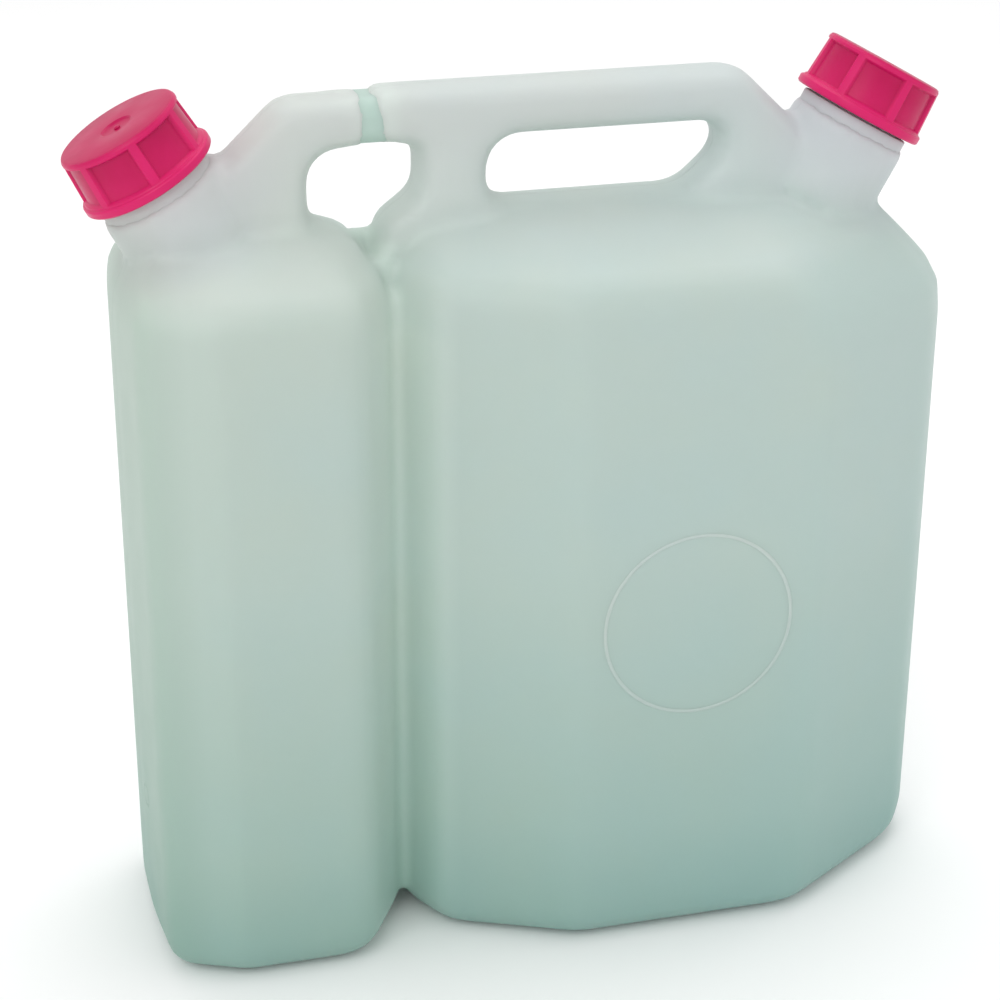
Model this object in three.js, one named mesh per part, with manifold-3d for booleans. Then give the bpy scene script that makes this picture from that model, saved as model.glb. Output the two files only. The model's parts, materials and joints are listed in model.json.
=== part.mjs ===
// Dual fuel and oil can: two blow-moulded chambers side by side in one piece, joined by a pinched web and a shared
// carrying handle, each with its own tilted neck, screw cap and sealing disc.
// Millimetres. X runs along the can from the oil end to the fuel end, Y across it, Z up. The mould's parting plane is
// Y = 0, and both mould halves are alike.
import * as THREE from "three";
import { mergeVertices } from "three/addons/utils/BufferGeometryUtils.js";
import Module from "manifold-3d";

const wasm = await Module();
wasm.setup();

// The blown shell.
const WALL = 2.2;
const BASE_RADIUS = 15;
const SHOULDER_HEIGHT = 262;
const SHOULDER_RADIUS = 20;
const ROOF_RISE = 11;
const ROOF_HALF_WIDTH = 15;
const ROOF_EDGE_ANGLE = 72;
const SLOPE_ANGLE = 44;
const SLOPE_ROUNDING = 7;

// The oil chamber: its length, its front's distance from the parting plane, and the facet edges of its front.
const OIL_LENGTH = 100;
const OIL_HALF_DEPTH = 58;
const OIL_END_HALF_WIDTH = 37;
const OIL_END_BOW = 3;
const OIL_CORNER_BEVEL = 9.5;
const OIL_FACET_START = 30;
const OIL_FACET_END = 82;
const OIL_GROOVE_HALF_WIDTH = 26;
const OIL_ROOF_DRAW = 14;

// The fuel chamber, measured the same way.
const CHAMBER_GAP = 2;
const FUEL_LENGTH = 226;
const FUEL_HALF_DEPTH = 66;
const FUEL_GROOVE_HALF_WIDTH = 22;
const FUEL_GROOVE_CORNER = 11;
const FUEL_CORNER_HALF_WIDTH = 43;
const FUEL_FACET_START = 61;
const FUEL_FACET_END = 156;
const FUEL_END_HALF_WIDTH = 26;
const FUEL_END_BEVEL = 10;
const FUEL_ROOF_DRAW = 8;

// The carrying handle, seen from the front. Its holes stand above the shoulders, and its roots are hidden inside the
// chambers.
const HANDLE_STEP = 2;
const HANDLE_HALF_THICKNESS = 13.5;
const HANDLE_EDGE_RADIUS = 7.6;
const HANDLE_CROWN = 10.5;
const HANDLE_BAR = 20;
const HANDLE_ROOT_DEPTH = 6;
const HANDLE_ROOT_RADIUS = 10;
const HANDLE_ARM_RADIUS = 8.4;
const OIL_SLOPE_RUN = 65;
const OIL_HANDLE_ROOT = 18;
const FUEL_SLOPE_RUN = 88;
const FUEL_HANDLE_ROOT = 30;
const HANDLE_SPLIT = 6.5;
const HANDLE_SPLIT_OFFSET = 2;
const THUMB_HOLE_OIL_REACH = 27;
const THUMB_HOLE_FUEL_REACH = 13.5;
const THUMB_HOLE_RISE = 26;
const HANDLE_POST = 27;
const GRIP_HOLE_RISE = 34;
const GRIP_HOLE_HEIGHT = 25;
const GRIP_HOLE_CORNER = 8;
const WEB_THICKNESS = 2.6;
const WEB_REACH = 12;
const WEB_FOOT = 15;

// The necks: how far each one's foot is from the handle along the can, how far its cap's lower face stands off the
// slope, and the steps of the neck along its axis.
const NECK_TILT = 29;
const OIL_NECK_RUN = 40.54;
const OIL_NECK_RISE = 14.57;
const FUEL_NECK_RUN = 40.89;
const FUEL_NECK_RISE = 19.42;
const NECK_RADIUS = 18.8;
const NECK_BORE = 16.2;
const NECK_HEIGHT = 17;
const COLLAR_RADIUS = 23.4;
const COLLAR_DROP = 4;
const COLLAR_EDGE = 2.5;
const COLLAR_DEPTH = 36;

// The screw caps and their sealing discs.
const CAP_HEIGHT = 22.4;
const CAP_FLANGE_RADIUS = 26.2;
const CAP_FLANGE_THICKNESS = 3.6;
const CAP_PANEL_RADIUS = 22.2;
const CAP_RIM_RADIUS = 23.8;
const CAP_RIM_HEIGHT = 3;
const CAP_RIM_EDGE = 1.6;
const CAP_EDGE = 0.6;
const CAP_RIB_COUNT = 7;
const CAP_RIB_WIDTH = 3.2;
const CAP_RIB_PHASE = 0.5;
const CAP_DIMPLE_RADIUS = 6;
const CAP_DIMPLE_DEPTH = 0.8;
const CAP_CLEARANCE = 0.6;
const SEAL_THICKNESS = 1.4;
const SEAL_GAP = 0.3;

// The raised ring on the fuel chamber's front.
const RING_RADIUS = 37.5;
const RING_FROM_GROOVE = 108;
const RING_Z = 140;
const RING_BEAD = 1.2;
const RING_PROUD = 0.6;

const OIL_START = 0;
const FUEL_START = OIL_LENGTH + CHAMBER_GAP;
const FUEL_END = FUEL_START + FUEL_LENGTH;
const CHAMBER_MIDDLE = OIL_LENGTH + CHAMBER_GAP / 2;
const THUMB_HOLE_START = CHAMBER_MIDDLE - THUMB_HOLE_OIL_REACH;
const THUMB_HOLE_END = CHAMBER_MIDDLE + THUMB_HOLE_FUEL_REACH;
const THUMB_HOLE_FLOOR = SHOULDER_HEIGHT + THUMB_HOLE_RISE;
const GRIP_HOLE_START = THUMB_HOLE_END + HANDLE_POST;
const GRIP_HOLE_FLOOR = SHOULDER_HEIGHT + GRIP_HOLE_RISE;
const HANDLE_TOP = GRIP_HOLE_FLOOR + GRIP_HOLE_HEIGHT + HANDLE_BAR;
const OIL_HANDLE_TOP = HANDLE_TOP - HANDLE_STEP;
const OIL_HANDLE_START = OIL_START + OIL_SLOPE_RUN;
const FUEL_HANDLE_END = FUEL_END - FUEL_SLOPE_RUN;
const GRIP_HOLE_END = FUEL_HANDLE_END - GRIP_HOLE_CORNER;
const SLOPE = Math.tan(THREE.MathUtils.degToRad(SLOPE_ANGLE));

// A closed geometry as a solid that can be joined and cut.
function solid(geometry) {
  geometry.deleteAttribute("normal");
  geometry.deleteAttribute("uv");
  const merged = mergeVertices(geometry, 1e-4);
  const indices = merged.index.array;
  return new wasm.Manifold(
    new wasm.Mesh({
      numProp: 3,
      vertProperties: merged.attributes.position.array,
      triVerts: new Uint32Array(indices),
    }),
  );
}

// The solids of a list joined into one.
function joined(solids) {
  return solids.reduce((all, next) => all.add(next));
}

// A solid as a named mesh.
function meshOf(name, body, material) {
  const result = body.getMesh();
  const geometry = new THREE.BufferGeometry();
  geometry.setAttribute("position", new THREE.BufferAttribute(result.vertProperties, 3));
  geometry.setIndex(new THREE.BufferAttribute(result.triVerts, 1));
  const flat = geometry.toNonIndexed();
  flat.computeVertexNormals();
  const mesh = new THREE.Mesh(flat, material);
  mesh.name = name;
  return mesh;
}

// The point where two straight edges of an outline cross.
function crossing(first, second) {
  const between = second.from.clone().sub(first.from);
  const distance = between.cross(second.along) / first.along.cross(second.along);
  return first.from.clone().addScaledVector(first.along, distance);
}

// The points of a closed outline, run anticlockwise, with each corner {x, y, r} rounded. Every edge is first moved
// inwards by shrinkBy.
function roundedOutline(corners, shrinkBy = 0, arcSteps = 4) {
  const count = corners.length;
  const edges = corners.map((corner, i) => {
    const next = corners[(i + 1) % count];
    const along = new THREE.Vector2(next.x - corner.x, next.y - corner.y).normalize();
    const inward = new THREE.Vector2(-along.y, along.x);
    const from = new THREE.Vector2(corner.x, corner.y).addScaledVector(inward, shrinkBy);
    return { from, along };
  });
  return corners.flatMap((corner, i) => {
    const before = edges[(i + count - 1) % count];
    const after = edges[i];
    const turn = Math.atan2(before.along.cross(after.along), before.along.dot(after.along));
    const radius = Math.max(corner.r - Math.sign(turn) * shrinkBy, 0.5);
    const tangent = radius * Math.tan(Math.abs(turn) / 2);
    const start = crossing(before, after).addScaledVector(before.along, -tangent);
    const side = new THREE.Vector2(-before.along.y, before.along.x).multiplyScalar(Math.sign(turn) * radius);
    const centre = start.clone().add(side);
    return Array.from({ length: arcSteps + 1 }, (_, k) =>
      start.clone().rotateAround(centre, (turn * k) / arcSteps),
    );
  });
}

// A closed solid through rings of points that all have the same count, from the lowest ring to the highest.
function loft(rings) {
  const count = rings[0].length;
  const positions = rings.flat().flatMap((p) => [p.x, p.y, p.z]);
  const indices = [];
  for (let level = 0; level < rings.length - 1; level += 1) {
    for (let i = 0; i < count; i += 1) {
      const a = level * count + i;
      const b = level * count + ((i + 1) % count);
      indices.push(a, b, a + count, b, b + count, a + count);
    }
  }
  const addCap = (ring, first, faceUp) => {
    const middle = ring.reduce((sum, p) => sum.add(p), new THREE.Vector3()).divideScalar(count);
    const hub = positions.length / 3;
    positions.push(middle.x, middle.y, middle.z);
    for (let i = 0; i < count; i += 1) {
      const here = first + i;
      const next = first + ((i + 1) % count);
      indices.push(hub, faceUp ? here : next, faceUp ? next : here);
    }
  };
  addCap(rings[0], 0, false);
  addCap(rings.at(-1), (rings.length - 1) * count, true);
  const geometry = new THREE.BufferGeometry();
  geometry.setAttribute("position", new THREE.Float32BufferAttribute(positions, 3));
  geometry.setIndex(indices);
  return solid(geometry);
}

// The front half of a chamber's plan, mirrored to its back and rounded. Corners run from the oil end to the fuel end.
function planOutline(frontCorners) {
  const front = frontCorners.map(({ x, y, r }) => ({ x, y: -y, r }));
  const back = frontCorners.map(({ x, y, r }) => ({ x, y, r })).reverse();
  return roundedOutline([...front, ...back], 0, 3);
}

// How far a height is past a sloping end's foot, with the corner there rounded off.
function pastFoot(height) {
  return (height + Math.hypot(height, SLOPE_ROUNDING)) / 2;
}

// Where the slope of the oil end stands at a height, as a distance from the chamber's end.
function oilSlopeInset(z) {
  const foot = OIL_HANDLE_TOP - (OIL_HANDLE_START - OIL_START) * SLOPE;
  return pastFoot(z - foot) / SLOPE;
}

// The same for the fuel end.
function fuelSlopeInset(z) {
  const foot = HANDLE_TOP - (FUEL_END - FUEL_HANDLE_END) * SLOPE;
  return pastFoot(z - foot) / SLOPE;
}

// The heights of a chamber's sections, each with how far the section has drawn in from the widest one.
function sectionLevels(inset, wallHeights) {
  const levels = [];
  const baseRadius = BASE_RADIUS - inset;
  const baseSteps = 4;
  for (let k = baseSteps; k >= 0; k -= 1) {
    const angle = (Math.PI / 2) * (k / baseSteps);
    const drawIn = baseRadius * (1 - Math.cos(angle));
    levels.push({ z: inset + baseRadius * (1 - Math.sin(angle)), drawIn, groove: drawIn, end: drawIn });
  }
  wallHeights.forEach((z) => levels.push({ z, drawIn: 0, groove: 0, end: 0 }));
  const shoulderRadius = SHOULDER_RADIUS - inset;
  const shoulderSteps = 5;
  for (let k = 0; k <= shoulderSteps; k += 1) {
    const angle = THREE.MathUtils.degToRad(ROOF_EDGE_ANGLE) * (k / shoulderSteps);
    const drawIn = shoulderRadius * (1 - Math.cos(angle));
    levels.push({ z: SHOULDER_HEIGHT + shoulderRadius * Math.sin(angle), drawIn, groove: drawIn / 2, end: 0 });
  }
  return levels;
}

// A chamber as a stack of plan sections: a rounded base, straight walls, a rounded shoulder and a low roof that rises
// to the foot of the handle.
function chamber({ start, length, halfDepth, corners, grooveAtStart, slopeInset, roofDraw, wallHeights }, inset) {
  const outline = planOutline(corners);
  const levels = sectionLevels(inset, wallHeights);
  const edge = levels.at(-1);
  const roofSteps = 3;
  for (let k = 1; k <= roofSteps; k += 1) {
    const share = k / roofSteps;
    const drawIn = THREE.MathUtils.lerp(edge.drawIn, halfDepth - inset - ROOF_HALF_WIDTH, share);
    const rise = ROOF_RISE * share;
    levels.push({ z: edge.z + rise, drawIn, groove: edge.groove + roofDraw * share * share, end: 0 });
  }
  const rings = levels.map(({ z, drawIn, groove, end }) => {
    const outer = inset + Math.max(end, slopeInset(z + inset));
    const inner = inset + groove;
    const low = start + (grooveAtStart ? inner : outer);
    const high = start + length - (grooveAtStart ? outer : inner);
    const depthShare = (halfDepth - inset - drawIn) / halfDepth;
    return outline.map((p) => {
      const x = THREE.MathUtils.lerp(low, high, (p.x - start) / length);
      return new THREE.Vector3(x, p.y * depthShare, z);
    });
  });
  return loft(rings);
}

const oilChamber = {
  start: OIL_START,
  length: OIL_LENGTH,
  halfDepth: OIL_HALF_DEPTH,
  grooveAtStart: false,
  slopeInset: oilSlopeInset,
  roofDraw: OIL_ROOF_DRAW,
  wallHeights: [],
  corners: [
    { x: OIL_START, y: OIL_END_HALF_WIDTH / 3, r: 60 },
    { x: OIL_START + OIL_END_BOW, y: OIL_END_HALF_WIDTH + OIL_CORNER_BEVEL, r: 9 },
    { x: OIL_START + OIL_FACET_START, y: OIL_HALF_DEPTH, r: 14 },
    { x: OIL_START + OIL_FACET_END, y: OIL_HALF_DEPTH, r: 16 },
    { x: OIL_START + OIL_LENGTH, y: OIL_GROOVE_HALF_WIDTH, r: 16 },
  ],
};

const fuelChamber = {
  start: FUEL_START,
  length: FUEL_LENGTH,
  halfDepth: FUEL_HALF_DEPTH,
  grooveAtStart: true,
  slopeInset: fuelSlopeInset,
  roofDraw: FUEL_ROOF_DRAW,
  wallHeights: [SHOULDER_HEIGHT - 22, SHOULDER_HEIGHT - 10],
  corners: [
    { x: FUEL_START, y: FUEL_GROOVE_HALF_WIDTH, r: 16 },
    { x: FUEL_START + FUEL_GROOVE_CORNER, y: FUEL_CORNER_HALF_WIDTH, r: 16 },
    { x: FUEL_START + FUEL_FACET_START, y: FUEL_HALF_DEPTH, r: 24 },
    { x: FUEL_START + FUEL_FACET_END, y: FUEL_HALF_DEPTH, r: 24 },
    { x: FUEL_END - FUEL_END_BEVEL, y: FUEL_END_HALF_WIDTH, r: 22 },
    { x: FUEL_END, y: FUEL_END_BEVEL, r: 16 },
  ],
};

// A slab that lies on the parting plane, seen from the front as an outline with holes, with rounded edges all round.
function handleSlab(outerCorners, holes, inset) {
  const flat = HANDLE_HALF_THICKNESS - HANDLE_CROWN;
  const shape = new THREE.Shape(roundedOutline(outerCorners, inset));
  holes.forEach((corners) => shape.holes.push(new THREE.Path(roundedOutline(corners, -inset))));
  const geometry = new THREE.ExtrudeGeometry(shape, {
    depth: 2 * flat,
    steps: 1,
    bevelEnabled: true,
    bevelThickness: HANDLE_CROWN - inset,
    bevelSize: HANDLE_EDGE_RADIUS - inset,
    bevelOffset: inset - HANDLE_EDGE_RADIUS,
    bevelSegments: 3,
    curveSegments: 1,
  });
  geometry.translate(0, 0, -flat);
  geometry.rotateX(Math.PI / 2);
  return solid(geometry);
}

const ROOT_Z = SHOULDER_HEIGHT - HANDLE_ROOT_DEPTH;
const OIL_ARM_END = CHAMBER_MIDDLE - HANDLE_SPLIT / 2 - HANDLE_SPLIT_OFFSET;
const OIL_ROOT_END = OIL_ARM_END + 1;
const FUEL_ARM_START = OIL_ARM_END + HANDLE_SPLIT;
const FUEL_ROOT_START = FUEL_ARM_START - 3;
const FUEL_ROOT_END = FUEL_END - FUEL_HANDLE_ROOT;
const THUMB_HOLE_TOP = HANDLE_TOP - HANDLE_BAR - 1.5;

const oilHandle = [
  { x: OIL_HANDLE_ROOT, y: ROOT_Z, r: HANDLE_ROOT_RADIUS },
  { x: OIL_ROOT_END, y: ROOT_Z, r: HANDLE_ROOT_RADIUS },
  { x: OIL_ROOT_END, y: THUMB_HOLE_FLOOR - 6, r: HANDLE_ROOT_RADIUS },
  { x: THUMB_HOLE_START, y: THUMB_HOLE_FLOOR + 4, r: 12 },
  { x: THUMB_HOLE_START, y: THUMB_HOLE_TOP, r: 11 },
  { x: OIL_ARM_END, y: THUMB_HOLE_TOP, r: HANDLE_ARM_RADIUS },
  { x: OIL_ARM_END, y: OIL_HANDLE_TOP, r: HANDLE_ARM_RADIUS },
  { x: OIL_HANDLE_START, y: OIL_HANDLE_TOP, r: 14 },
  { x: OIL_HANDLE_ROOT, y: OIL_HANDLE_TOP - (OIL_HANDLE_START - OIL_HANDLE_ROOT) * SLOPE, r: HANDLE_ROOT_RADIUS },
];

const fuelHandle = [
  { x: FUEL_ROOT_START, y: ROOT_Z, r: HANDLE_ROOT_RADIUS },
  { x: FUEL_ROOT_END, y: ROOT_Z, r: HANDLE_ROOT_RADIUS },
  { x: FUEL_ROOT_END, y: HANDLE_TOP - (FUEL_ROOT_END - FUEL_HANDLE_END) * SLOPE, r: HANDLE_ROOT_RADIUS },
  { x: FUEL_HANDLE_END, y: HANDLE_TOP, r: 16 },
  { x: FUEL_ARM_START, y: HANDLE_TOP, r: HANDLE_ARM_RADIUS },
  { x: FUEL_ARM_START, y: THUMB_HOLE_TOP, r: HANDLE_ARM_RADIUS },
  { x: THUMB_HOLE_END, y: THUMB_HOLE_TOP, r: 2.8 },
  { x: THUMB_HOLE_END, y: THUMB_HOLE_FLOOR + 14, r: 9 },
  { x: FUEL_ROOT_START, y: THUMB_HOLE_FLOOR + 3, r: HANDLE_ROOT_RADIUS },
];

const gripHole = [
  { x: GRIP_HOLE_START, y: GRIP_HOLE_FLOOR, r: 8 },
  { x: GRIP_HOLE_END - 14, y: GRIP_HOLE_FLOOR, r: 16 },
  { x: GRIP_HOLE_END, y: GRIP_HOLE_FLOOR + 13, r: 10 },
  { x: GRIP_HOLE_END, y: HANDLE_TOP - HANDLE_BAR, r: 7 },
  { x: GRIP_HOLE_START, y: HANDLE_TOP - HANDLE_BAR, r: 12 },
];

// The pinched web that joins the chambers and the two arms of the handle, open at the thumb hole.
function pinchedWeb() {
  const panel = (low, high) => {
    const box = new THREE.BoxGeometry(2 * WEB_REACH, WEB_THICKNESS, high - low);
    box.translate(CHAMBER_MIDDLE, 0, (low + high) / 2);
    return solid(box);
  };
  return joined([panel(WEB_FOOT, THUMB_HOLE_FLOOR), panel(THUMB_HOLE_TOP + 1, OIL_HANDLE_TOP - 1)]);
}

// A turned shape on a neck's axis, its profile given as [radius, height] from the axis back to the axis.
function turned(profile, segments = 40) {
  const points = profile.map(([radius, height]) => new THREE.Vector2(radius, height));
  const geometry = new THREE.LatheGeometry(points, segments);
  geometry.rotateX(Math.PI / 2);
  return solid(geometry);
}

// The frame of a neck: the origin at the middle of its cap's lower face, local Z along the axis and outwards. It
// stands on the slope that falls from one end of the handle.
function neckFrame(handleX, handleZ, side, run, rise) {
  const frame = new THREE.Matrix4().makeRotationY(side * THREE.MathUtils.degToRad(NECK_TILT));
  const axis = new THREE.Vector3(0, 0, 1).applyMatrix4(frame);
  const foot = new THREE.Vector3(handleX + side * run, 0, handleZ - run * SLOPE);
  return frame.setPosition(foot.addScaledVector(axis, rise));
}

const oilNeck = neckFrame(OIL_HANDLE_START, OIL_HANDLE_TOP, -1, OIL_NECK_RUN, OIL_NECK_RISE);
const fuelNeck = neckFrame(FUEL_HANDLE_END, HANDLE_TOP, 1, FUEL_NECK_RUN, FUEL_NECK_RISE);

// A collar that rises from the slope, and the narrower neck that the cap screws on to.
function neckOutside() {
  return turned([
    [0, -COLLAR_DEPTH],
    [COLLAR_RADIUS, -COLLAR_DEPTH],
    [COLLAR_RADIUS, -COLLAR_DROP - COLLAR_EDGE],
    [COLLAR_RADIUS - COLLAR_EDGE * 0.3, -COLLAR_DROP - COLLAR_EDGE * 0.3],
    [COLLAR_RADIUS - COLLAR_EDGE, -COLLAR_DROP],
    [NECK_RADIUS, -COLLAR_DROP],
    [NECK_RADIUS, NECK_HEIGHT],
    [0, NECK_HEIGHT],
  ]);
}

// The way through a neck, wider inside the collar.
function neckInside() {
  const widest = COLLAR_RADIUS - WALL;
  return turned([
    [0, -COLLAR_DEPTH + WALL],
    [widest, -COLLAR_DEPTH + WALL],
    [widest, -COLLAR_DROP - COLLAR_EDGE - WALL],
    [NECK_BORE, -COLLAR_DROP - WALL],
    [NECK_BORE, NECK_HEIGHT + 1],
    [0, NECK_HEIGHT + 1],
  ]);
}

// The raised ring on the fuel chamber's front facet.
function raisedRing() {
  const torus = new THREE.TorusGeometry(RING_RADIUS, RING_BEAD, 6, 48);
  torus.rotateX(Math.PI / 2);
  torus.translate(FUEL_START + RING_FROM_GROOVE, -(FUEL_HALF_DEPTH - RING_BEAD + RING_PROUD), RING_Z);
  return solid(torus);
}

// The whole blown can, hollow and open at both necks.
function canBody() {
  const skin = (inset) => [
    chamber(oilChamber, inset),
    chamber(fuelChamber, inset),
    handleSlab(oilHandle, [], inset),
    handleSlab(fuelHandle, [gripHole], inset),
  ];
  const outside = joined([
    ...skin(0),
    pinchedWeb(),
    neckOutside().transform(oilNeck.elements),
    neckOutside().transform(fuelNeck.elements),
    raisedRing(),
  ]);
  const inside = joined([
    ...skin(WALL),
    neckInside().transform(oilNeck.elements),
    neckInside().transform(fuelNeck.elements),
  ]);
  return outside.subtract(inside);
}

const SEAL_FLOOR = NECK_HEIGHT + SEAL_GAP;

// A cap in its neck's frame: a flange at the mouth, recessed panels between upright ribs, and a rim at the top.
function screwCap() {
  const bore = NECK_RADIUS + CAP_CLEARANCE;
  const ceiling = SEAL_FLOOR + SEAL_THICKNESS + SEAL_GAP;
  const rimFoot = CAP_HEIGHT - CAP_RIM_HEIGHT;
  const shell = turned(
    [
      [0, ceiling],
      [bore, ceiling],
      [bore, 0],
      [CAP_FLANGE_RADIUS - CAP_EDGE, 0],
      [CAP_FLANGE_RADIUS, CAP_EDGE],
      [CAP_FLANGE_RADIUS, CAP_FLANGE_THICKNESS - CAP_EDGE],
      [CAP_FLANGE_RADIUS - CAP_EDGE, CAP_FLANGE_THICKNESS],
      [CAP_PANEL_RADIUS, CAP_FLANGE_THICKNESS],
      [CAP_PANEL_RADIUS, rimFoot],
      [CAP_RIM_RADIUS, rimFoot],
      [CAP_RIM_RADIUS, CAP_HEIGHT - CAP_RIM_EDGE],
      [CAP_RIM_RADIUS - CAP_RIM_EDGE * 0.3, CAP_HEIGHT - CAP_RIM_EDGE * 0.3],
      [CAP_RIM_RADIUS - CAP_RIM_EDGE, CAP_HEIGHT],
      [CAP_DIMPLE_RADIUS, CAP_HEIGHT],
      [CAP_DIMPLE_RADIUS - CAP_DIMPLE_DEPTH, CAP_HEIGHT - CAP_DIMPLE_DEPTH],
      [0, CAP_HEIGHT - CAP_DIMPLE_DEPTH],
    ],
    56,
  );
  return joined([shell, ...capRibs(bore + 1, rimFoot + CAP_EDGE)]);
}

// The upright ribs of a cap, from a radius inside its wall out to the flange's edge at the foot and the rim's at the
// top.
function capRibs(innerRadius, top) {
  const outerRadius = CAP_FLANGE_RADIUS - CAP_EDGE;
  const depth = outerRadius - innerRadius;
  const height = top - CAP_EDGE;
  return Array.from({ length: CAP_RIB_COUNT }, (_, k) => {
    const rib = new THREE.BoxGeometry(depth, CAP_RIB_WIDTH, height);
    rib.translate(innerRadius + depth / 2, 0, CAP_EDGE + height / 2);
    const corners = rib.attributes.position;
    for (let i = 0; i < corners.count; i += 1) {
      const outward = corners.getX(i) > innerRadius + depth / 2;
      const high = corners.getZ(i) > CAP_EDGE + height / 2;
      if (outward && high) corners.setX(i, CAP_RIM_RADIUS);
    }
    rib.rotateZ((2 * Math.PI * (k + CAP_RIB_PHASE)) / CAP_RIB_COUNT);
    return solid(rib);
  });
}

// The soft disc that lies under the cap's top and presses on the neck's rim.
function sealDisc() {
  return turned([
    [0, SEAL_FLOOR],
    [NECK_RADIUS, SEAL_FLOOR],
    [NECK_RADIUS, SEAL_FLOOR + SEAL_THICKNESS],
    [0, SEAL_FLOOR + SEAL_THICKNESS],
  ]);
}

const plastic = new THREE.MeshStandardMaterial({ color: 0xbdd0c6, roughness: 0.42, metalness: 0 });
const capRed = new THREE.MeshStandardMaterial({ color: 0xd0245f, roughness: 0.35, metalness: 0 });
const sealGrey = new THREE.MeshStandardMaterial({ color: 0xd8d8d0, roughness: 0.7, metalness: 0 });

const can = new THREE.Group();
can.add(meshOf("can_body", canBody(), plastic));
[
  ["oil", oilNeck],
  ["fuel", fuelNeck],
].forEach(([name, frame]) => {
  const closure = new THREE.Group();
  closure.add(meshOf(`${name}_cap`, screwCap(), capRed));
  closure.add(meshOf(`${name}_cap_seal`, sealDisc(), sealGrey));
  closure.applyMatrix4(frame);
  can.add(closure);
});

// The part's origin is the middle of its footprint, on the surface that it stands on.
const reach = new THREE.Box3().setFromObject(can);
const middle = reach.getCenter(new THREE.Vector3());
can.position.set(-middle.x, -middle.y, -reach.min.z);

export default can;
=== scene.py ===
"""A dual fuel and oil can: a blow-moulded body with two chambers, and a ribbed screw cap with its seal on each neck."""

import json
import logging
import math
from dataclasses import dataclass
from enum import Enum
from typing import Callable, Union

import bmesh
import bpy
from mathutils import Matrix, Vector


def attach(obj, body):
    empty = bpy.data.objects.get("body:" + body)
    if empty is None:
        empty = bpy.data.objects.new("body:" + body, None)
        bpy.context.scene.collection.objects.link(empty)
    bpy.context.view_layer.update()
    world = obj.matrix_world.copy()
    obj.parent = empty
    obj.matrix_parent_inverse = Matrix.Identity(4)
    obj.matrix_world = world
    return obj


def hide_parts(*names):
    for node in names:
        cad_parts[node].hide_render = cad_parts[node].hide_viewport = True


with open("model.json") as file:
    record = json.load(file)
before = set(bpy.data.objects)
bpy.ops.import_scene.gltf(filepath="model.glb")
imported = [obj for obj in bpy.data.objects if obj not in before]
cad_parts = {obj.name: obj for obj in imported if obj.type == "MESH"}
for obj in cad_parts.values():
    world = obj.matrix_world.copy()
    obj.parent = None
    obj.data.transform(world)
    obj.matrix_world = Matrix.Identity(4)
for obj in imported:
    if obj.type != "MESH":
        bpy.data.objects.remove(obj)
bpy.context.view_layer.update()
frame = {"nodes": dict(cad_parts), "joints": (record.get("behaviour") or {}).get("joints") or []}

log = logging.getLogger("fuel_and_oil_can")

MM = 0.001


class Neck(Enum):
    """The two necks of the can."""

    OIL = "oil"
    FUEL = "fuel"


class Axis(Enum):
    """The parts of a point in Object coordinates."""

    X = 0
    Y = 1
    Z = 2


@dataclass(frozen=True)
class NeckFrame:
    """Where a neck stands, read from the joint that turns its cap.

    Attributes:
        origin: The middle of the cap's lower face.
        axis: The neck's axis, outwards.
    """

    origin: Vector
    axis: Vector

    @classmethod
    def of(cls, neck: Neck) -> "NeckFrame":
        """Reads a neck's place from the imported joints.

        Args:
            neck: Which neck.

        Returns:
            The neck's frame.
        """
        turn = next(j for j in frame["joints"] if j["name"] == f"{neck.value}_cap_turn")
        return cls(Vector(turn["pos_m"]), Vector(turn["axis"]).normalized())

    def matrix(self, phase: float = 0.0) -> Matrix:
        """The matrix from the neck's own frame, in metres, to the can's.

        Args:
            phase: A turn about the neck's axis, in degrees.

        Returns:
            The matrix.
        """
        side = Vector((0, 1, 0)).cross(self.axis).normalized()
        across = self.axis.cross(side)
        turned = Matrix((side, across, self.axis)).transposed().to_4x4()
        return Matrix.Translation(self.origin) @ turned @ Matrix.Rotation(math.radians(phase), 4, "Z")


Value = Union["Wire", float]


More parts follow.
